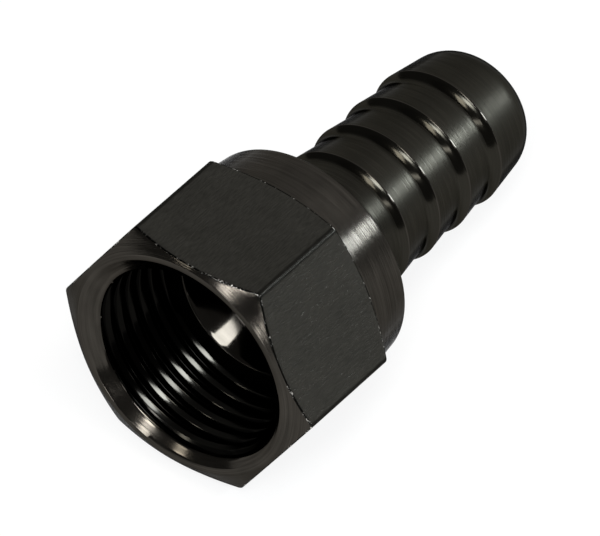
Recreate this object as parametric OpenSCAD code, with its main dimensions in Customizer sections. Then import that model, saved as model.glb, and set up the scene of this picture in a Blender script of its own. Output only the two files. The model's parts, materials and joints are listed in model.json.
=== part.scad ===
// Swivel hose barb: a hexagon nut that turns freely on a barbed hose stem.
// The nut threads onto a flared pipe end, and its rolled-in collar keeps the stem's head captive.
// All sizes are in millimetres. Both pieces are drawn with the mouth of the nut at x = 0 and the
// tip of the stem along +X, and then laid down together on the collar's taper.

/* [Nut] */
// Width of the hexagon across its flats
across_flats = 22.2; // [20:0.1:30]
// Length of the flats, from the mouth to the start of the collar
flat_len = 12.55; // [11:0.05:14]
// Length of the collar behind the flats
collar_len = 5.05; // [4.6:0.05:8]
// Angle at which the collar narrows towards its end
collar_taper = 7; // [3:0.5:12]
// Chamfer on the rim at the end of the collar
collar_edge = 0.25; // [0.1:0.05:0.5]
// Radius of the hexagon's corners
corner_round = 0.45; // [0.2:0.05:1.5]
// Angle between the mouth's corner chamfer and the mouth's face
mouth_chamfer_angle = 29; // [15:1:40]
// Distance from a flat to the start of the mouth's corner chamfer
mouth_chamfer_inset = 0.4; // [0.2:0.05:0.7]
// Angle between the rear corner chamfer and a plane across the nut
rear_chamfer_angle = 26; // [10:1:40]

/* [Thread] */
// Wall that the thread's roots leave under each flat
thread_wall = 1.575; // [1.2:0.005:2.5]
// Distance from one turn of the thread to the next
thread_pitch = 1.5875; // [1:0.0125:2]
// Depth of the thread's ridges as a share of its pitch
thread_depth_ratio = 0.457; // [0.4:0.001:0.6]
// Distance from the mouth to the end of the thread
thread_end = 9.95; // [8:0.05:10.2]
// Distance by which the mouth's countersink is wider than the thread, on each side
countersink_margin = 0.72; // [0.2:0.02:0.8]
// Full angle of the mouth's countersink
countersink_angle = 112; // [90:1:120]

/* [Stem head] */
// Length of the head's straight land, behind its seat face
head_land = 2.9; // [2:0.1:3.2]
// Chamfer on the front rim of the head
head_edge = 0.3; // [0.1:0.05:0.6]
// Angle between the axis and the bearing shoulder behind the head
shoulder_angle = 45; // [40:1:60]
// Diameter of the seat cone at the head's face
seat_d = 14.6; // [12:0.1:16]
// Angle between the seat cone and the axis
seat_angle = 37; // [30:1:45]

/* [Hose end] */
// Diameter of the passage through the stem
bore_d = 9.2; // [7:0.1:10.2]
// Diameter of the plain neck behind the nut
neck_d = 12.6; // [11.6:0.1:13]
// Length of plain neck that shows between the nut and the first barb
neck_len = 4.6; // [2:0.1:12]
// Number of barbs
barb_count = 4; // [2:1:6]
// Diameter of the barbs at their ridges
ridge_d = 13.4; // [13.2:0.1:15]
// Distance from one ridge to the next
barb_pitch = 4.45; // [3:0.05:6]
// Angle at which each barb narrows towards the tip
barb_taper = 8.3; // [4:0.1:10]
// Length of the hollow shoulder on the nut's side of each ridge
barb_shoulder = 1.07; // [0.6:0.01:1.6]
// Length from the last ridge to the tip
tip_len = 6; // [5:0.1:7]
// Length of the rounded nose at the tip
nose_len = 2.15; // [1.5:0.05:3]
// Width of the flat ring around the passage at the tip
tip_wall = 0.35; // [0.2:0.05:0.6]

/* [Fits] */
// Running clearance between the stem and the nut, on each side
swivel_gap = 0.08; // [0.04:0.01:0.1]
// End play between the stem's head and the nut, at each end
end_play = 0.1; // [0.05:0.01:0.3]
// Clearance of the head's chamber over the thread's roots, on each side
thread_relief = 0.05; // [0:0.01:0.2]

/* [Hidden] */

// Sides of a full circle
$fn = 128;
// Overlap by which a cut runs past the face that it opens
cut = 1;
// Finish of both pieces
black_plate = [0.13, 0.125, 0.115];

// Hexagon
apothem = across_flats / 2;
corner_r = apothem / cos(30);
// Distance from the axis to the centre of a corner's rounding
corner_centre = corner_r - corner_round / cos(30);
// Distance from the axis that clears the corners everywhere
clear_r = corner_r + cut;

// Outside of the nut
nut_len = flat_len + collar_len;
mouth_face_r = apothem - mouth_chamfer_inset;
mouth_chamfer_len = (clear_r - mouth_face_r) * tan(mouth_chamfer_angle);
rear_chamfer_len = (clear_r - apothem) * tan(rear_chamfer_angle);
collar_end_r = apothem - collar_len * tan(collar_taper);

// Inside of the nut
thread_major_d = across_flats - 2 * thread_wall;
thread_major_r = thread_major_d / 2;
thread_minor_r = thread_major_r - thread_depth_ratio * thread_pitch;
countersink_r = thread_major_r + countersink_margin;
countersink_len = (countersink_r - thread_minor_r) / tan(countersink_angle / 2);
chamber_r = thread_major_r + thread_relief;

// Head of the stem, inside the nut's chamber
bore_r = bore_d / 2;
neck_r = neck_d / 2;
neck_hole_r = neck_r + swivel_gap;
head_r = chamber_r - swivel_gap;
head_face = thread_end + end_play;
head_back = head_face + head_land;
head_shoulder_len = (head_r - neck_r) / tan(shoulder_angle);
seat_r = seat_d / 2;
seat_len = (seat_r - bore_r) / tan(seat_angle);
// The chamber's shoulder lies behind the head's by the end play, along the axis
chamber_back = head_back + end_play;
chamber_shoulder_len = (chamber_r - neck_hole_r) / tan(shoulder_angle);

// Barbs
ridge_r = ridge_d / 2;
first_ridge = nut_len + neck_len + barb_shoulder;
last_ridge = first_ridge + (barb_count - 1) * barb_pitch;
root_r = ridge_r - (barb_pitch - barb_shoulder) * tan(barb_taper);
stem_end = last_ridge + tip_len;
nose_start = stem_end - nose_len;
nose_r = ridge_r - (tip_len - nose_len) * tan(barb_taper);
tip_r = bore_r + tip_wall;

// Resting place: the collar's taper lies on the surface, and the middle of the
// tipped fitting's length is over the origin
rest_height = flat_len * sin(collar_taper) + apothem * cos(collar_taper);
rest_front = -mouth_face_r * sin(collar_taper);
rest_back = stem_end * cos(collar_taper) + tip_r * sin(collar_taper);
rest_middle = (rest_front + rest_back) / 2;

// Distance from the axis to the flank that falls away from a ridge, at some way behind it
function flank_r(way) = ridge_r - way * tan(barb_taper);

// Radius of an arc that leaves a line at angle slope and passes a point,
// at a rise and a run from where it leaves
function arc_r(rise, run, slope) =
    (rise * rise + run * run) / (2 * (rise * cos(slope) + run * sin(slope)));

// Lays both pieces on the collar's taper
module laid_down() {
    translate([-rest_middle, 0, rest_height])
        rotate([0, collar_taper, 0])
            children();
}

// Turns a profile, drawn as [distance from the axis, distance from the mouth], about the X axis
module turned() {
    rotate([0, 90, 0])
        rotate_extrude()
            children();
}

// Hexagon with rounded corners and a flat at each end of its X axis
module hexagon() {
    tangent = corner_round * tan(30);
    side = corner_r;
    polygon([for (i = [0:5], end = [-1, 1])
        let (turn = 60 * i, along = end * (side / 2 - tangent))
        [apothem * cos(turn) - along * sin(turn), apothem * sin(turn) + along * cos(turn)]]);
    for (i = [0:5])
        rotate(60 * i + 30)
            translate([corner_centre, 0])
                circle(r = corner_round);
}

// Outside of the nut as one turned profile, which trims the hexagon's corners
module nut_outside() {
    turned()
        polygon([
            [0, 0],
            [mouth_face_r, 0],
            [clear_r, mouth_chamfer_len],
            [clear_r, flat_len - rear_chamfer_len],
            [apothem, flat_len],
            [collar_end_r + collar_edge * tan(collar_taper), nut_len - collar_edge],
            [collar_end_r - collar_edge, nut_len],
            [0, nut_len]
        ]);
}

// Countersink, thread hole, head chamber and neck hole as one turned profile
module nut_inside() {
    mouth_out = cut * tan(countersink_angle / 2);
    turned()
        polygon([
            [0, -cut],
            [countersink_r + mouth_out, -cut],
            [thread_minor_r, countersink_len],
            [thread_minor_r, thread_end],
            [chamber_r, thread_end],
            [chamber_r, chamber_back],
            [neck_hole_r, chamber_back + chamber_shoulder_len],
            [neck_hole_r, nut_len + cut],
            [0, nut_len + cut]
        ]);
}

// Solid outside of the stem, with straight shoulders and a straight tip
module stem_blank() {
    polygon(concat(
        [
            [0, head_face],
            [head_r - head_edge, head_face],
            [head_r, head_face + head_edge],
            [head_r, head_back],
            [neck_r, head_back + head_shoulder_len],
            [neck_r, first_ridge - barb_shoulder],
            [ridge_r, first_ridge]
        ],
        [for (i = [1:barb_count - 1], top = [0, 1])
            let (ridge = first_ridge + i * barb_pitch)
            [top == 1 ? ridge_r : root_r, top == 1 ? ridge : ridge - barb_shoulder]],
        [
            [flank_r(tip_len), stem_end],
            [0, stem_end]
        ]
    ));
}

// Disc that hollows the shoulder below the ridge at the given place,
// and leaves a line of radius foot_r and angle slope without a corner
module shoulder_hollow(ridge, foot_r, slope) {
    hollow_r = arc_r(ridge_r - foot_r, barb_shoulder, slope);
    translate([foot_r + hollow_r * cos(slope), ridge - barb_shoulder + hollow_r * sin(slope)])
        circle(r = hollow_r);
}

// What is left outside the rounded nose
module nose_waste() {
    rounding_r = arc_r(nose_r - tip_r, nose_len, -barb_taper);
    difference() {
        translate([0, nose_start])
            square([ridge_r + cut, nose_len + cut]);
        translate([nose_r - rounding_r * cos(barb_taper), nose_start - rounding_r * sin(barb_taper)])
            circle(r = rounding_r);
        translate([0, nose_start])
            square([tip_r, nose_len]);
    }
}

// Passage through the stem, with the seat cone at the head's face
module stem_passage() {
    turned()
        polygon([
            [0, head_face - cut],
            [seat_r + cut * tan(seat_angle), head_face - cut],
            [bore_r, head_face + seat_len],
            [bore_r, stem_end + cut],
            [0, stem_end + cut]
        ]);
}

module swivel_nut() {
    color(black_plate)
        laid_down()
            difference() {
                intersection() {
                    rotate([0, 90, 0])
                        linear_extrude(height = nut_len)
                            hexagon();
                    nut_outside();
                }
                nut_inside();
            }
}

module barb_stem() {
    color(black_plate)
        laid_down()
            difference() {
                turned()
                    difference() {
                        stem_blank();
                        shoulder_hollow(first_ridge, neck_r, 0);
                        for (i = [1:barb_count - 1])
                            shoulder_hollow(first_ridge + i * barb_pitch, root_r, barb_taper);
                        nose_waste();
                    }
                stem_passage();
            }
}

swivel_nut();
barb_stem();
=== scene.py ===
import json
import math
from collections import namedtuple

import bmesh
import bpy
import numpy as np
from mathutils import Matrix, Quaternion, Vector


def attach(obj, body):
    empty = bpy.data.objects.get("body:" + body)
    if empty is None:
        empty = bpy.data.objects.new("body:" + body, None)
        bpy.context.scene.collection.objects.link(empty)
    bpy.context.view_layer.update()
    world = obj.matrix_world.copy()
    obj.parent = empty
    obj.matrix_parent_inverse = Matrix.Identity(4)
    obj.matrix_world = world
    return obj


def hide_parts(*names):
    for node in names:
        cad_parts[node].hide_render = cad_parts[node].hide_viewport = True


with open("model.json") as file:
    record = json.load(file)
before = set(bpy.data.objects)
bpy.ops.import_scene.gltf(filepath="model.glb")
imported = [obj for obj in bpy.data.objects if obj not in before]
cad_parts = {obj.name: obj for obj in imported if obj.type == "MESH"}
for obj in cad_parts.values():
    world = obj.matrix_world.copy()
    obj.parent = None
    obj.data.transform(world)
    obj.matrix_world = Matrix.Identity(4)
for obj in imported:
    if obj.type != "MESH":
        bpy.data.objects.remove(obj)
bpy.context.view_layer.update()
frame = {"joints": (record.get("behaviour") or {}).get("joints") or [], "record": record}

# Swivel hose barb in black plated steel: a hexagon nut that turns on a barbed stem.
# Lengths are in millimetres until a mesh is made. Along is the distance from the nut's mouth
# along the swivel axis, and out is the distance from that axis.
MM = 0.001

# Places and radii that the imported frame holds
swivel = frame["joints"][0]
mounts = {mount["name"]: mount for mount in frame["record"]["mounts"]}
MOUTH = np.array(swivel["pos_m"])
AXIS = np.array(swivel["axis"])
SIDE = np.array([0.0, 1.0, 0.0])
RISE = np.cross(AXIS, SIDE)
THREAD_MINOR_R = mounts["thread_port"]["dims"]["r_mm"]
BORE_R = mounts["passage"]["dims"]["r_mm"]

# Nut
FLAT_COUNT = 6
HALF_SECTOR = math.pi / FLAT_COUNT
APOTHEM = 11.1
CORNER_ROUND = 0.45
FLAT_LEN = 12.55
NUT_LEN = 17.6
COLLAR_TAPER = math.radians(7)
COLLAR_EDGE = 0.25
MOUTH_FACE_R = 10.7
MOUTH_CHAMFER = math.radians(29)
REAR_CHAMFER = math.radians(26)
COLLAR_END_R = APOTHEM - (NUT_LEN - FLAT_LEN) * math.tan(COLLAR_TAPER)

# Thread and countersink
THREAD_MAJOR_R = 9.525
THREAD_PITCH = 1.5875
THREAD_START = 0.974
THREAD_END = 9.95
FLANK = math.radians(30)
ROOT_FLAT = THREAD_PITCH / 8
COUNTERSINK_R = 10.245
COUNTERSINK = math.radians(56)

# Bevel that breaks each crest's edge on the mouth's side: its width, and its angle to the axis
BEVEL = 0.44
BEVEL_SLOPE = math.radians(36)

# Chamber behind the thread, and the head of the stem in it
SWIVEL_GAP = 0.08
CHAMBER_R = 9.575
CHAMBER_BACK = 13.05
HEAD_FACE = 10.05
HEAD_BACK = 12.95
HEAD_EDGE = 0.3
HEAD_R = CHAMBER_R - SWIVEL_GAP
SEAT_R = 7.3
SEAT = math.radians(37)

# Hose end
NECK_R = 6.3
NECK_HOLE_R = NECK_R + SWIVEL_GAP
NECK_LEN = 4.6
RIDGE_R = 6.7
RIDGES = 4
RIDGE_PITCH = 4.45
BARB_SHOULDER = 1.07
BARB_TAPER = math.radians(8.3)
FIRST_RIDGE = NUT_LEN + NECK_LEN + BARB_SHOULDER
TIP_LEN = 6.0
NOSE_LEN = 2.15
TIP_WALL = 0.35
TIP_R = BORE_R + TIP_WALL

# Hollows of the barbs' shoulders, and how many of their strips have the plain finish
FIRST_HOLLOW_LEN = 0.95
HOLLOW_LEN = 1.2
PLAIN_STRIPS = 4

# Edge roundings, as the distance that each takes off either side of its edge. None takes more
# than MOST_SHARE of a side, and LEAST_SIDE stands in for the length of a side that has none.
FINE_EDGE = 0.05
BEVEL_EDGE = 0.06
ROOT_EDGE = 0.07
RIDGE_EDGE = 0.09
PLAIN_EDGE = 0.09
ARC_EDGE = 0.11
SEAT_EDGE = 0.12
CREST_EDGE = 0.15
MOST_SHARE = 0.45
LEAST_SIDE = 1e-9

# Distances from an edge to the stations that keep the faces beside it flat, and the shares of
# the mouth's chamfer at which it has such stations
CLOSE_HOLD = 0.12
SEAT_HOLD = 0.25
SHORT_HOLD = 0.4
HOLD = 0.5
NECK_HOLD = 0.6
BORE_HOLD = 3.0
CHAMFER_HOLDS = (0.3, 0.7)

# Strips of a rounding and of an arc
EDGE_STEPS = 3
THREAD_EDGE_STEPS = 2
ARC_STEPS = 12

# Columns of the stem. The nut's are a degree apart, and closer together near a corner, at these
# degrees from the middle of a flat. Its first flat is on top.
STEM_COLUMNS = 361
EVEN_DEGREES = list(range(-28, 29))
CORNER_DEGREES = [28.3, 28.6, 28.9, 29.2, 29.5, 29.75]
FIRST_FLAT = 90

# Distances in metres below which points are welded and edges are dropped, and the distance in
# millimetres within which a point is taken to be on the countersink
WELD = 2e-7
NO_EDGE = 1e-7
ON_CONE = 1e-6

# Finishes, as places in each piece's list of materials
FLATS, TURNED, COLLAR, THREAD, FLANK_FACE, WORN_PAINTED_LIGHT_BEVEL, NICKED_ARC = range(7)
PLAIN, POLISHED, HEAD, SMOOTH, TIP = range(5)


# Profiles and meshes

def eased(corners, columns, steps=EDGE_STEPS):
    """A profile with its edges rounded.

    corners is a list of (along, out, rounding), where along and out may be arrays with an
    entry for each column of the mesh. Returns along and out, each with a row for each station
    and a column for each column of the mesh, and the place in corners that each station is at.
    """
    points = np.array([[np.broadcast_to(along, columns), np.broadcast_to(out, columns)]
                       for along, out, _ in corners])
    last = len(corners) - 1
    rows = []
    owners = []
    for i, (_, _, rounding) in enumerate(corners):
        here = points[i]
        if i in (0, last) or rounding == 0:
            rows.append(here)
            owners.append(i)
            continue
        sides = []
        for other in (points[i - 1], points[i + 1]):
            way = other - here
            length = np.linalg.norm(way, axis=0)
            reach = np.minimum(rounding, MOST_SHARE * length)
            sides.append(here + way / np.maximum(length, LEAST_SIDE) * reach)
        for t in np.linspace(0, 1, steps + 1):
            rows.append((1 - t) ** 2 * sides[0] + 2 * t * (1 - t) * here + t**2 * sides[1])
            owners.append(i)
    rows = np.array(rows)
    return rows[:, 0], rows[:, 1], np.array(owners)


def arc(start, end, slope):
    """Points of the arc that leaves start at an angle of slope to the axis and reaches end."""
    run, rise = end[0] - start[0], end[1] - start[1]
    radius = (run**2 + rise**2) / (2 * (rise * math.cos(slope) - run * math.sin(slope)))
    centre = (start[0] - radius * math.sin(slope), start[1] + radius * math.cos(slope))
    first = math.atan2(start[1] - centre[1], start[0] - centre[0])
    turn = math.atan2(end[1] - centre[1], end[0] - centre[0]) - first
    turn = (turn + math.pi) % (2 * math.pi) - math.pi
    angles = first + turn * np.linspace(0, 1, ARC_STEPS + 1)
    return [(centre[0] + abs(radius) * math.cos(a), centre[1] + abs(radius) * math.sin(a))
            for a in angles]


def between(low, high, share):
    """What lies a share of the way from low to high."""
    return low + share * (high - low)


def placed(along, out, angles):
    """Points in metres in the frame, for stations at each of the angles about the axis."""
    return (MOUTH + MM * (along[..., None] * AXIS + (out * np.cos(angles))[..., None] * SIDE
                          + (out * np.sin(angles))[..., None] * RISE))


def clean(mesh):
    """Welds the columns' seam and the stations that lie on each other, and turns all faces
    outwards."""
    work = bmesh.new()
    work.from_mesh(mesh)
    bmesh.ops.remove_doubles(work, verts=work.verts, dist=WELD)
    bmesh.ops.dissolve_degenerate(work, edges=work.edges, dist=NO_EDGE)
    bmesh.ops.recalc_face_normals(work, faces=work.faces)
    work.to_mesh(mesh)
    work.free()


def ring_mesh(name, along, out, angles, finishes, materials):
    """A closed ring-shaped mesh from a grid of stations around the profile and columns around
    the axis. finishes gives the material of each face, by its first station and column."""
    points = placed(along, out, angles)
    index = np.arange(along.size).reshape(along.shape)
    after = np.roll(index, -1, axis=0)
    quads = np.stack([index[:, :-1], index[:, 1:], after[:, 1:], after[:, :-1]], axis=-1)
    mesh = bpy.data.meshes.new(name)
    mesh.from_pydata(points.reshape(-1, 3), [], quads.reshape(-1, 4).tolist())
    for material in materials:
        mesh.materials.append(material)
    mesh.polygons.foreach_set("material_index", np.ravel(finishes))
    mesh.polygons.foreach_set("use_smooth", np.ones(len(mesh.polygons), bool))
    clean(mesh)
    piece = bpy.data.objects.new(name, mesh)
    bpy.context.scene.collection.objects.link(piece)
    weighted = piece.modifiers.new("even_normals", "WEIGHTED_NORMAL")
    weighted.keep_sharp = False
    return piece


# Nodes

def new_node(tree, kind, inputs=None, **settings):
    """A new node. Each of its inputs is a number, or a socket to link it to."""
    node = tree.nodes.new(kind)
    for key, value in settings.items():
        setattr(node, key, value)
    for key, value in (inputs or {}).items():
        if isinstance(value, bpy.types.NodeSocket):
            tree.links.new(value, node.inputs[key])
        else:
            node.inputs[key].default_value = value
    return node


def maths(tree, operation, *values):
    """The result of a Math node. Each value is a number or a socket."""
    node = new_node(tree, "ShaderNodeMath", dict(enumerate(values)), operation=operation)
    return node.outputs[0]


def mixed(tree, factor, low, high):
    """A number that goes from low to high with factor. Either end may be a socket."""
    node = new_node(tree, "ShaderNodeMapRange", {"Value": factor, "To Min": low, "To Max": high})
    return node.outputs["Result"]


def smooth_step(tree, value, start, end):
    """0 where value is at start, 1 where it is at end, and a smooth rise between them."""
    node = new_node(tree, "ShaderNodeMapRange",
                    {"Value": value, "From Min": start, "From Max": end},
                    interpolation_type="SMOOTHSTEP")
    return node.outputs["Result"]


def noise(tree, vector, scale, detail, roughness):
    """A Noise node's values, which lie about 0.5."""
    node = new_node(tree, "ShaderNodeTexNoise", {"Vector": vector, "Scale": scale,
                                                 "Detail": detail, "Roughness": roughness})
    return node.outputs["Fac"]


# Materials

# Where a shaded point is: the point itself, its along and its out, all in millimetres, and its
# direction about the axis as a cosine and a sine. Each is a socket.
Place = namedtuple("Place", "point along out cosine sine")

# Colours of the plating, and of the burred edges, which are dark with a painted shade along the
# burr and have bright nicks
FLAT_BLACK = (0.0428, 0.0412, 0.0358)
TURNED_BLACK = (0.038, 0.0345, 0.0295)
STEM_BLACK = (0.0250, 0.0234, 0.0190)
HEAD_BLACK = (0.014, 0.013, 0.011)
THREAD_BLACK = (0.0042, 0.0041, 0.0037)
FLANK_BLACK = (0.013, 0.0127, 0.0115)
# The worn bevel's colour, which is also the level of its painted highlight on the lower side
WEAR_AND_PAINTED_LIGHT_BLACK = (0.0270, 0.0260, 0.0230)
BURR_SHADE_BLACK = (0.006, 0.006, 0.0053)
NICKED = (0.60, 0.58, 0.54)

# Out is taken to be at least this where a direction about the axis is worked out
LEAST_OUT = 0.01

# How much the lines around the axis change on their way round, and the drawn grain's scale along
# the axis as a share of that across it
SWAY = 1.2
DRAW = 0.12

# Noise values between which the tool marks go from dark to pale, and the size of the patches
MARKS = (0.3, 0.7)
PATCH_SIZE = 3.0

# Burr: size of its nicks and of the runs that they come in, the noise values between which each
# of the two sets in, and the depth of its relief
NICK_SIZE = 0.16
NICK_NOISE = (0.52, 0.62)
RUN_SIZE = 1.1
RUN_NOISE = (0.48, 0.62)
BURR_RELIEF = 0.05

# Specular tint of the metal, and the facing values between which it falls to zero
FACING_TINT = 0.47
EDGE_ON = (0.70, 0.90)

# Distances out between which a painted shade darkens the plating towards the hexagon's corners, in
# place of a dark reflection there, and the shade there
CORNER_SHADE_OUTS = (12.6, 12.7)
CORNER_SHADE_LEVEL = 0.4

# Sines about the axis between which painted light sets in on the thread, full on the lower side
# where the front lamp's highlight falls, and the painted shade on the other sides
PAINTED_LIGHT_SINES = (-0.78, -0.92)
PAINTED_SIDE_SHADE = 0.15


def axis_place(tree):
    """The Place of the point that is shaded, from its object coordinates."""
    coords = new_node(tree, "ShaderNodeTexCoord").outputs["Object"]
    tilt = math.atan2(-AXIS[2], AXIS[0])
    local = new_node(tree, "ShaderNodeMapping",
                     {"Vector": coords, "Location": tuple(MOUTH), "Rotation": (0, tilt, 0),
                      "Scale": (MM, MM, MM)}, vector_type="TEXTURE").outputs[0]
    along, side, rise = new_node(tree, "ShaderNodeSeparateXYZ", {0: local}).outputs
    out = maths(tree, "SQRT", maths(tree, "ADD", maths(tree, "MULTIPLY", side, side),
                                    maths(tree, "MULTIPLY", rise, rise)))
    out = maths(tree, "MAXIMUM", out, LEAST_OUT)
    return Place(local, along, out, maths(tree, "DIVIDE", side, out),
                 maths(tree, "DIVIDE", rise, out))


def lines_around(tree, place, fineness):
    """Noise that runs in circles round the axis, as a turning tool leaves it."""
    across = maths(tree, "MULTIPLY", maths(tree, "ADD", place.along, place.out), fineness)
    vector = new_node(tree, "ShaderNodeCombineXYZ",
                      {0: across, 1: maths(tree, "MULTIPLY", place.cosine, SWAY),
                       2: maths(tree, "MULTIPLY", place.sine, SWAY)}).outputs[0]
    return noise(tree, vector, scale=1.0, detail=3.0, roughness=0.65)


def grain_along(tree, place, fineness):
    """Noise that is drawn out along the axis, as on cold drawn bar."""
    scale = (fineness * DRAW, fineness, fineness)
    vector = new_node(tree, "ShaderNodeMapping",
                      {"Vector": place.point, "Scale": scale}).outputs[0]
    return noise(tree, vector, scale=1.0, detail=3.0, roughness=0.6)


def patches(tree, place, size):
    """Noise in soft patches of about the given size in millimetres."""
    return noise(tree, place.point, scale=1 / size, detail=2.0, roughness=0.5)


def keep_dark(tree, shader):
    """Keeps black metal that is seen edge-on from lighting up as bare metal would."""
    facing = new_node(tree, "ShaderNodeLayerWeight", {"Blend": 0.5}).outputs["Facing"]
    tint = new_node(tree, "ShaderNodeMapRange",
                    {"Value": facing, "From Min": EDGE_ON[0], "From Max": EDGE_ON[1],
                     "To Min": FACING_TINT, "To Max": 0.0})
    tree.links.new(tint.outputs["Result"], shader.inputs["Specular Tint"])


def start_metal(name):
    """A new material, its node tree, its shader and its Place."""
    material = bpy.data.materials.new(name)
    material.use_nodes = True
    tree = material.node_tree
    return material, tree, tree.nodes["Principled BSDF"], axis_place(tree)


def end_metal(tree, shader, height, relief):
    """Makes the shader a metal. relief is how deep in millimetres the given height is."""
    bump = new_node(tree, "ShaderNodeBump", {"Height": height, "Distance": relief * MM})
    tree.links.new(bump.outputs[0], shader.inputs["Normal"])
    shader.inputs["Metallic"].default_value = 1.0
    keep_dark(tree, shader)


def black_metal(name, colour, roughness, pattern, fineness, relief, spread=0.2, darker=None):
    """Black plated steel. pattern makes the tool marks with the given fineness, relief is
    their depth in millimetres, and spread is how far they and the patches change the colour
    and the roughness. darker makes a factor for the colour from the Place."""
    material, tree, shader, place = start_metal(name)
    marks = pattern(tree, place, fineness)
    scored = smooth_step(tree, marks, *MARKS)
    patched = patches(tree, place, PATCH_SIZE)
    both = maths(tree, "MULTIPLY", maths(tree, "ADD", scored, patched), 0.5)
    shade = mixed(tree, both, 1 - spread, 1 + spread)
    if darker:
        shade = maths(tree, "MULTIPLY", shade, darker(tree, place))
    tint = new_node(tree, "ShaderNodeVectorMath", {0: colour, "Scale": shade}, operation="SCALE")
    tree.links.new(tint.outputs[0], shader.inputs["Base Color"])
    tree.links.new(mixed(tree, both, roughness * (1 + spread), roughness * (1 - spread)),
                   shader.inputs["Roughness"])
    end_metal(tree, shader, marks, relief)
    return material


def burr_metal(name, dark, bright, roughness):
    """A burred edge: dark with a painted shade along the burr, with runs of bright nicks along it.
    """
    material, tree, shader, place = start_metal(name)
    grain = patches(tree, place, NICK_SIZE)
    nick = maths(tree, "MULTIPLY", smooth_step(tree, grain, *NICK_NOISE),
                 smooth_step(tree, patches(tree, place, RUN_SIZE), *RUN_NOISE))
    colour = new_node(tree, "ShaderNodeMix", {"Factor": nick, 6: (*dark, 1), 7: (*bright, 1)},
                      data_type="RGBA").outputs[2]
    tree.links.new(colour, shader.inputs["Base Color"])
    shader.inputs["Roughness"].default_value = roughness
    end_metal(tree, shader, grain, BURR_RELIEF)
    return material


def corner_painted_shade(tree, place):
    """Painted shade: the plating is darker on the hexagon's rounded corners, in place of a dark
    reflection there.
    """
    return mixed(tree, smooth_step(tree, place.out, *CORNER_SHADE_OUTS), 1.0, CORNER_SHADE_LEVEL)


def painted_light_below(tree, place):
    """Painted light: the colour is full on the lower side, where the front lamp's highlight falls,
    and a painted shade darkens the other sides.
    """
    return mixed(tree, smooth_step(tree, place.sine, *PAINTED_LIGHT_SINES), PAINTED_SIDE_SHADE, 1.0)


# Each has its name, colour, roughness, pattern, the pattern's fineness, and its relief
# The flats take a painted shade on the hexagon's corners
flat_metal = black_metal("flat_metal", FLAT_BLACK, 0.34, grain_along, 9.0, 0.03,
                         spread=0.4, darker=corner_painted_shade)
turned_metal = black_metal("turned_metal", TURNED_BLACK, 0.13, lines_around, 8.0, 0.013,
                           spread=0.5)
collar_metal = black_metal("collar_metal", TURNED_BLACK, 0.14, lines_around, 8.0, 0.03,
                           spread=0.5)
thread_metal = black_metal("thread_metal", THREAD_BLACK, 0.16, lines_around, 5.0, 0.006)
# The flank that faces the mouth and the worn bevel take painted light: brighter on the lower side,
# where the front lamp's highlight falls, and painted shade on the other sides
flank_metal = black_metal("flank_metal", FLANK_BLACK, 0.13, lines_around, 5.0, 0.004,
                          spread=0.3, darker=painted_light_below)
worn_metal = black_metal("worn_metal", WEAR_AND_PAINTED_LIGHT_BLACK, 0.13, lines_around, 5.0, 0.004,
                         spread=0.3, darker=painted_light_below)
nicked_metal = burr_metal("nicked_metal", BURR_SHADE_BLACK, NICKED, 0.3)
# The seat's finish is also that of the ridges' roundings
seat_metal = black_metal("seat_metal", TURNED_BLACK, 0.08, lines_around, 5.0, 0.0005)
head_metal = black_metal("head_metal", HEAD_BLACK, 0.25, lines_around, 6.0, 0.004)
stem_metal = black_metal("stem_metal", STEM_BLACK, 0.30, lines_around, 8.0, 0.014, spread=0.3)
shoulder_metal = black_metal("shoulder_metal", STEM_BLACK, 0.16, lines_around, 8.0, 0.004)
tip_metal = black_metal("tip_metal", STEM_BLACK, 0.38, lines_around, 8.0, 0.014, spread=0.3)


# Nut

def hexagon_out(offsets):
    """Distance from the axis to the hexagon, at angles from the middle of a flat."""
    corner = APOTHEM / math.cos(HALF_SECTOR)
    centre = corner - CORNER_ROUND / math.cos(HALF_SECTOR)
    tangent = math.atan((corner / 2 - CORNER_ROUND * math.tan(HALF_SECTOR)) / APOTHEM)
    flat = APOTHEM / np.cos(offsets)
    off = HALF_SECTOR - np.abs(offsets)
    reach = np.sqrt(np.maximum(CORNER_ROUND**2 - (centre * np.sin(off)) ** 2, 0))
    return np.where(np.abs(offsets) > tangent, centre * np.cos(off) + reach, flat)


def nut_columns():
    """Angles about the axis, closer together at the hexagon's corners, and each one's angle
    from the middle of its flat. The last column lies on the first, a full turn on."""
    before = [-180 / FLAT_COUNT] + [-degrees for degrees in reversed(CORNER_DEGREES)]
    sector = before + EVEN_DEGREES + CORNER_DEGREES
    offsets = np.tile(np.radians(sector), FLAT_COUNT)
    middles = FIRST_FLAT + np.arange(FLAT_COUNT) * 360 / FLAT_COUNT
    angles = np.repeat(np.radians(middles), len(sector)) + offsets
    return np.append(angles, angles[0] + 2 * math.pi), np.append(offsets, offsets[0])


def thread_profile():
    """One pitch of the thread, from the middle of a crest to the middle of the next, as
    distances along and out."""
    flank_len = (THREAD_MAJOR_R - THREAD_MINOR_R) * math.tan(FLANK)
    crest = THREAD_PITCH - ROOT_FLAT - 2 * flank_len
    bevel_out = BEVEL * math.sin(BEVEL_SLOPE)
    bevel_start = -crest / 2 - bevel_out * math.tan(FLANK)
    bevel_end = bevel_start + BEVEL * math.cos(BEVEL_SLOPE)
    corners = [(-THREAD_PITCH, THREAD_MINOR_R, 0),
               (-THREAD_PITCH + crest / 2, THREAD_MINOR_R, CREST_EDGE),
               (-THREAD_PITCH + crest / 2 + flank_len, THREAD_MAJOR_R, ROOT_EDGE),
               (-crest / 2 - flank_len, THREAD_MAJOR_R, ROOT_EDGE),
               (bevel_start, THREAD_MINOR_R + bevel_out, BEVEL_EDGE),
               (bevel_end, THREAD_MINOR_R, BEVEL_EDGE),
               (0, THREAD_MINOR_R, 0)]
    along, out, _ = eased(corners, 1, THREAD_EDGE_STEPS)
    return along[:-1, 0] + THREAD_PITCH, out[:-1, 0]


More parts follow.
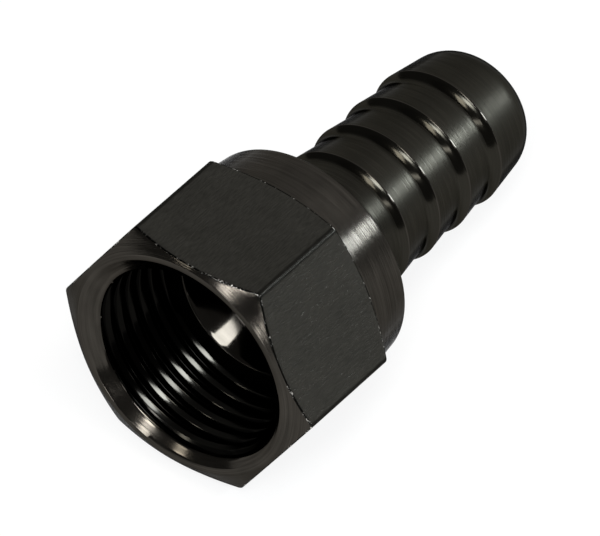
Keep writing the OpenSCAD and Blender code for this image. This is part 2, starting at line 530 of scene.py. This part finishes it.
def thread_stations(angles):
    """The thread from the chamber back to the countersink's outer edge. Each column's stations
    follow the right-hand helix, and those past either end gather there."""
    step_along, step_out = thread_profile()
    # The turns start well before the mouth, so that the countersink cuts them in every column
    early = 3
    turns = early + 1 + int(THREAD_END / THREAD_PITCH)
    base = np.concatenate([step_along + (i - early) * THREAD_PITCH for i in range(turns)])
    lead = (angles - angles[0]) / (2 * math.pi) * THREAD_PITCH
    along = base[:, None] + THREAD_START + lead
    out = np.repeat(np.tile(step_out, turns)[:, None], len(angles), axis=1)

    # The station before the countersink's cone moves to where the profile meets the cone
    slope = math.tan(COUNTERSINK)
    gap = COUNTERSINK_R - along * slope - out
    crossing = (gap[:-1] > 0) & (gap[1:] <= 0)
    share = np.where(crossing, gap[:-1] / np.where(crossing, gap[:-1] - gap[1:], 1), 0)
    along[:-1] = between(along[:-1], along[1:], share)
    out[:-1] = between(out[:-1], out[1:], share)
    along = np.maximum(along, 0)
    out = np.maximum(out, COUNTERSINK_R - along * slope)

    # The stations past the thread's end gather where the profile meets it
    first = np.argmax(along > THREAD_END, axis=0)
    columns = np.arange(len(angles))
    before, beyond = along[first - 1, columns], along[first, columns]
    share = (THREAD_END - before) / (beyond - before)
    end_out = between(out[first - 1, columns], out[first, columns], share)
    past = np.arange(len(along))[:, None] >= first
    along = np.where(past, THREAD_END, along)
    out = np.where(past, end_out, out)
    return along[::-1], out[::-1]


def thread_finishes(along, out):
    """The finish of each face of the thread. The flank that faces the mouth is less black than
    the rest, and the bevel beside it is worn. Both take painted light on the lower side, where the
    front lamp's highlight falls, and painted shade on the other sides. The countersink is turned."""
    # Along one pitch: a crest, its rear flank and the root, then the flank that faces the
    # mouth, the bevel with its roundings, and the next crest
    one_turn = [THREAD] * 9 + [FLANK_FACE] + [WORN_PAINTED_LIGHT_BEVEL] * 4 + [THREAD] * 2
    strips = np.resize(one_turn, len(along))[:-1][::-1]
    on_cone = out < COUNTERSINK_R - along * math.tan(COUNTERSINK) + ON_CONE
    both_on_cone = on_cone[:-1] & on_cone[1:]
    return np.where(both_on_cone[:, :-1] | both_on_cone[:, 1:], TURNED, strips[:, None])


def nut_corners(hexagon):
    """The nut's profile from the mouth over its outside to the chamber, as (along, out,
    rounding, finish from there on)."""
    mouth_arc = (hexagon - MOUTH_FACE_R) * math.tan(MOUTH_CHAMFER)
    rear_arc = FLAT_LEN - (hexagon - APOTHEM) * math.tan(REAR_CHAMFER)
    taper = math.tan(COLLAR_TAPER)
    rim = NUT_LEN - COLLAR_EDGE
    rim_r = COLLAR_END_R + COLLAR_EDGE * taper
    chamfer = [(share * mouth_arc, between(MOUTH_FACE_R, hexagon, share), 0, TURNED)
               for share in CHAMFER_HOLDS]
    return [
        (0, COUNTERSINK_R, 0, TURNED),
        (0, MOUTH_FACE_R, FINE_EDGE, TURNED),
        *chamfer,
        (mouth_arc, hexagon, ARC_EDGE, FLATS),
        (mouth_arc + HOLD, hexagon, 0, FLATS),
        (rear_arc - HOLD, hexagon, 0, FLATS),
        (rear_arc, hexagon, ARC_EDGE, COLLAR),
        (FLAT_LEN, APOTHEM, FINE_EDGE, COLLAR),
        (FLAT_LEN + HOLD, APOTHEM - HOLD * taper, 0, COLLAR),
        (rim - SHORT_HOLD, rim_r + SHORT_HOLD * taper, 0, COLLAR),
        (rim, rim_r, PLAIN_EDGE, COLLAR),
        (NUT_LEN, COLLAR_END_R - COLLAR_EDGE, PLAIN_EDGE, COLLAR),
        (NUT_LEN, NECK_HOLE_R, PLAIN_EDGE, TURNED),
        (CHAMBER_BACK + CHAMBER_R - NECK_HOLE_R, NECK_HOLE_R, PLAIN_EDGE, TURNED),
        (CHAMBER_BACK, CHAMBER_R, PLAIN_EDGE, TURNED),
        (THREAD_END, CHAMBER_R, 0, TURNED),
    ]


def make_nut():
    """The nut, with burred arcs where the chamfers cut its flats."""
    angles, offsets = nut_columns()
    corners = nut_corners(hexagon_out(offsets))
    along, out, owners = eased([corner[:3] for corner in corners], len(angles))
    strips = np.array([corner[3] for corner in corners])[owners]
    on_arc = np.array([corner[2] == ARC_EDGE for corner in corners])[owners]
    strips[:-1][on_arc[:-1] & on_arc[1:]] = NICKED_ARC
    along_in, out_in = thread_stations(angles)
    finishes = np.full((len(along) + len(along_in), len(angles) - 1), TURNED)
    finishes[:len(along)] = strips[:, None]
    finishes[len(along):-1] = thread_finishes(along_in, out_in)
    piece = ring_mesh("swivel_nut_finished", np.concatenate([along, along_in]),
                      np.concatenate([out, out_in]), angles, finishes,
                      [flat_metal, turned_metal, collar_metal, thread_metal, flank_metal,
                       worn_metal, nicked_metal])
    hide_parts("swivel_nut")
    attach(piece, "nut")


# Stem

def head_corners():
    """The stem's profile from inside the passage over its head to the neck, as (along, out,
    rounding, finish from there on)."""
    seat_len = (SEAT_R - BORE_R) / math.tan(SEAT)
    hold = SEAT_HOLD / math.tan(SEAT)
    return [
        (HEAD_FACE + seat_len + BORE_HOLD, BORE_R, 0, PLAIN),
        (HEAD_FACE + seat_len, BORE_R, PLAIN_EDGE, POLISHED),
        (HEAD_FACE + seat_len - hold, BORE_R + SEAT_HOLD, 0, POLISHED),
        (HEAD_FACE + hold, SEAT_R - SEAT_HOLD, 0, POLISHED),
        (HEAD_FACE, SEAT_R, SEAT_EDGE, HEAD),
        (HEAD_FACE, HEAD_R - HEAD_EDGE, FINE_EDGE, HEAD),
        (HEAD_FACE + HEAD_EDGE, HEAD_R, FINE_EDGE, PLAIN),
        (HEAD_BACK, HEAD_R, PLAIN_EDGE, PLAIN),
        (HEAD_BACK + HEAD_R - NECK_R, NECK_R, PLAIN_EDGE, PLAIN),
        (FIRST_RIDGE - BARB_SHOULDER - NECK_HOLD, NECK_R, 0, PLAIN),
    ]


def barb_corners(ridge, foot_r, slope, hollow_len, finish):
    """The hollow shoulder of a barb, which leaves foot_r at an angle of slope to the axis, its
    ridge, and the start of the flank behind that, which has the given finish."""
    hollow = arc((ridge - hollow_len, foot_r), (ridge, RIDGE_R), slope)[:-1]
    corners = [(along, out, 0, PLAIN if i < PLAIN_STRIPS else SMOOTH)
               for i, (along, out) in enumerate(hollow)]
    corners.append((ridge, RIDGE_R, RIDGE_EDGE, POLISHED))
    corners += [(ridge + hold, RIDGE_R - hold * math.tan(BARB_TAPER), 0, finish)
                for hold in (CLOSE_HOLD, HOLD)]
    return corners


def stem_corners():
    """The stem's whole profile, as (along, out, rounding, finish from there on)."""
    flank = math.tan(BARB_TAPER)
    root_r = RIDGE_R - (RIDGE_PITCH - HOLLOW_LEN) * flank
    ridges = [FIRST_RIDGE + i * RIDGE_PITCH for i in range(RIDGES)]
    corners = head_corners() + barb_corners(ridges[0], NECK_R, 0.0, FIRST_HOLLOW_LEN, PLAIN)
    for ridge in ridges[1:]:
        corners.append((ridge - HOLLOW_LEN - SHORT_HOLD, root_r + SHORT_HOLD * flank, 0, PLAIN))
        corners += barb_corners(ridge, root_r, -BARB_TAPER, HOLLOW_LEN,
                                TIP if ridge == ridges[-1] else PLAIN)
    end = ridges[-1] + TIP_LEN
    nose_start = (end - NOSE_LEN, RIDGE_R - (TIP_LEN - NOSE_LEN) * flank)
    nose = arc(nose_start, (end, TIP_R), -BARB_TAPER)[:-1]
    corners += [(along, out, 0, TIP) for along, out in nose]
    return corners + [(end, TIP_R, FINE_EDGE, TIP), (end, BORE_R, FINE_EDGE, TIP),
                      (end - BORE_HOLD, BORE_R, 0, PLAIN)]


def make_stem():
    """The stem, which is turned all over."""
    corners = stem_corners()
    along, out, owners = eased([corner[:3] for corner in corners], STEM_COLUMNS)
    angles = np.linspace(0, 2 * math.pi, STEM_COLUMNS)
    strips = np.array([corner[3] for corner in corners])[owners]
    finishes = np.repeat(strips[:, None], STEM_COLUMNS - 1, axis=1)
    piece = ring_mesh("barb_stem_finished", along, out, angles, finishes,
                      [stem_metal, seat_metal, head_metal, shoulder_metal, tip_metal])
    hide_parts("barb_stem")
    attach(piece, "stem")


make_nut()
make_stem()


# Camera: a long lens far off, aimed so that the mouth's centre falls on its pixel

# The sensor's width is in millimetres, and the distance in metres
IMAGE = (600, 536)
SENSOR = 36.0
VIEW_HEADING = math.radians(36.384)
VIEW_DROP = math.radians(48.653)
VIEW_DISTANCE = 1.0278
PIXELS_PER_METRE = 12056.0
MOUTH_PIXEL = (180.05, 365.29)


def make_camera():
    """The camera that took the photo, as fitted to the edges of both pieces."""
    forward = Vector((math.cos(VIEW_DROP) * math.cos(VIEW_HEADING),
                      math.cos(VIEW_DROP) * math.sin(VIEW_HEADING), -math.sin(VIEW_DROP)))
    right = forward.cross(Vector((0, 0, 1))).normalized()
    up = right.cross(forward)
    camera = bpy.data.cameras.new("camera")
    camera.sensor_width = SENSOR
    camera.lens = PIXELS_PER_METRE * VIEW_DISTANCE * SENSOR / IMAGE[0]
    camera.clip_start = 0.05
    camera.clip_end = 20
    shift_right = (MOUTH_PIXEL[0] - IMAGE[0] / 2) / PIXELS_PER_METRE
    shift_up = (IMAGE[1] / 2 - MOUTH_PIXEL[1]) / PIXELS_PER_METRE
    viewer = bpy.data.objects.new("camera", camera)
    viewer.location = Vector(MOUTH) - right * shift_right - up * shift_up - forward * VIEW_DISTANCE
    viewer.rotation_mode = "QUATERNION"
    viewer.rotation_quaternion = forward.to_track_quat("-Z", "Y")
    bpy.context.scene.collection.objects.link(viewer)
    bpy.context.scene.camera = viewer


# Light and stage: headings run from +X towards +Y, heights are above the horizon, both in degrees

# Height in metres of the point that the lamps face
AIM_HEIGHT = 0.012

# Half of the floor's width in metres, and its share of plain white where it is seen or mirrored
FLOOR_HALF = 8.0
FLOOR_SHARE = 0.85

# Brightness of the room overhead, behind the camera and on its far side, and the shade of the
# dark patch on the last
OVERHEAD = 0.10
ROOM_DARK = 0.15
ROOM_GREY = 0.68
PATCH_SHADE = 0.5

# Sines of the heights between which the room overhead gives way to the rest
OVERHEAD_EDGE = (0.85, 0.70)

# Round parts of the room: heading and height of the middle, and the cosines of the angles from
# it at which the part starts and is full
FAR_SIDE = (8, 0, 0.34, 0.72)
GLOW = (-8, 28, 0.93, 1.0)
HORIZON_GLOW = (55, 0, 0.85, 1.0)
DARK_PATCH = (-37, 0, 0.975, 0.995)


def direction(heading, height):
    """The unit vector at a heading and a height."""
    heading, height = math.radians(heading), math.radians(height)
    return Vector((math.cos(height) * math.cos(heading), math.cos(height) * math.sin(heading),
                   math.sin(height)))


def softbox(name, heading, height, distance, size, radiance, colour=(1, 1, 1), lean=0):
    """A square or oblong lamp that faces the part. Its distance and its size, width by height,
    are in metres. lean turns its top towards lower headings."""
    lamp = bpy.data.lights.new(name, "AREA")
    lamp.shape = "RECTANGLE"
    lamp.size, lamp.size_y = size
    lamp.color = colour
    lamp.energy = radiance * math.pi * size[0] * size[1]
    way = direction(heading, height)
    stand = bpy.data.objects.new(name, lamp)
    stand.location = way * distance + Vector((0, 0, AIM_HEIGHT))
    stand.rotation_mode = "QUATERNION"
    stand.rotation_quaternion = ((-way).to_track_quat("-Z", "Y")
                                 @ Quaternion((0, 0, 1), math.radians(lean)))
    stand.visible_camera = False
    bpy.context.scene.collection.objects.link(stand)


def white_share(tree):
    """The share of the floor that is plain white. The rest is matte and takes shadow."""
    path = new_node(tree, "ShaderNodeLightPath").outputs
    mirrored = maths(tree, "MAXIMUM", path["Is Glossy Ray"], path["Is Transmission Ray"])
    return maths(tree, "MULTIPLY", maths(tree, "MAXIMUM", path["Is Camera Ray"], mirrored),
                 FLOOR_SHARE)


def make_floor():
    """The white floor that the fitting lies on."""
    mesh = bpy.data.meshes.new("floor")
    rim = [(-FLOOR_HALF, -FLOOR_HALF, 0), (FLOOR_HALF, -FLOOR_HALF, 0),
           (FLOOR_HALF, FLOOR_HALF, 0), (-FLOOR_HALF, FLOOR_HALF, 0)]
    mesh.from_pydata(rim, [], [(0, 1, 2, 3)])
    floor = bpy.data.objects.new("floor", mesh)
    material = bpy.data.materials.new("floor_white")
    material.use_nodes = True
    tree = material.node_tree
    tree.nodes.clear()
    white = new_node(tree, "ShaderNodeEmission", {"Color": (1, 1, 1, 1), "Strength": 1.0})
    matte = new_node(tree, "ShaderNodeBsdfDiffuse", {"Color": (0.9, 0.9, 0.9, 1)})
    mix = new_node(tree, "ShaderNodeMixShader",
                   {0: white_share(tree), 1: matte.outputs[0], 2: white.outputs[0]})
    new_node(tree, "ShaderNodeOutputMaterial", {"Surface": mix.outputs[0]})
    mesh.materials.append(material)
    bpy.context.scene.collection.objects.link(floor)


def round_part(tree, coords, part):
    """1 inside a round part of the room, 0 outside it, and a smooth rise between them."""
    heading, height, start, full = part
    cosine = new_node(tree, "ShaderNodeVectorMath", {0: coords, 1: direction(heading, height)},
                      operation="DOT_PRODUCT").outputs["Value"]
    return smooth_step(tree, cosine, start, full)


def make_world():
    """White for the camera. The metal sees a grey room that is dark overhead and behind the
    camera. On the room's far side are two soft glows and a dimmer patch."""
    world = bpy.data.worlds.new("studio")
    bpy.context.scene.world = world
    world.use_nodes = True
    tree = world.node_tree
    tree.nodes.clear()
    path = new_node(tree, "ShaderNodeLightPath").outputs
    coords = new_node(tree, "ShaderNodeTexCoord").outputs["Generated"]
    height = new_node(tree, "ShaderNodeSeparateXYZ", {0: coords}).outputs[2]
    low = smooth_step(tree, height, *OVERHEAD_EDGE)
    far = round_part(tree, coords, FAR_SIDE)
    glow = round_part(tree, coords, GLOW)
    level = round_part(tree, coords, HORIZON_GLOW)
    dark = round_part(tree, coords, DARK_PATCH)
    grey = mixed(tree, maths(tree, "MAXIMUM", glow, level), ROOM_GREY, 1.0)
    grey = maths(tree, "MULTIPLY", grey, mixed(tree, dark, 1.0, PATCH_SHADE))
    around_us = mixed(tree, far, ROOM_DARK, grey)
    strength = mixed(tree, low, OVERHEAD, around_us)
    strength = maths(tree, "MAXIMUM", strength, path["Is Camera Ray"])
    sky = new_node(tree, "ShaderNodeBackground", {"Color": (1, 1, 1, 1), "Strength": strength})
    new_node(tree, "ShaderNodeOutputWorld", {"Surface": sky.outputs[0]})


make_camera()
make_world()
make_floor()
# Each has its name, heading, height, distance, size, radiance and, where it isn't white, colour
softbox("side_box", -34, 20, 0.5, (0.08, 0.18), 30, (0.84, 0.93, 1.0), lean=37)
softbox("strip_box", -86, 40, 0.5, (0.42, 0.06), 7)
softbox("front_box", 175, 19, 0.5, (0.05, 0.10), 28)
softbox("low_front_box", -169, 5, 0.5, (0.045, 0.06), 16)
softbox("warm_box", 152, 22, 0.5, (0.05, 0.06), 12, (1.0, 0.95, 0.85))
softbox("key_box", -153, 53, 0.6, (0.16, 0.20), 24, (0.93, 0.97, 1.0))
softbox("overhead_box", -115, 76, 0.6, (0.30, 0.17), 10, (1.0, 0.97, 0.9))

bpy.context.scene.view_settings.view_transform = "Standard"
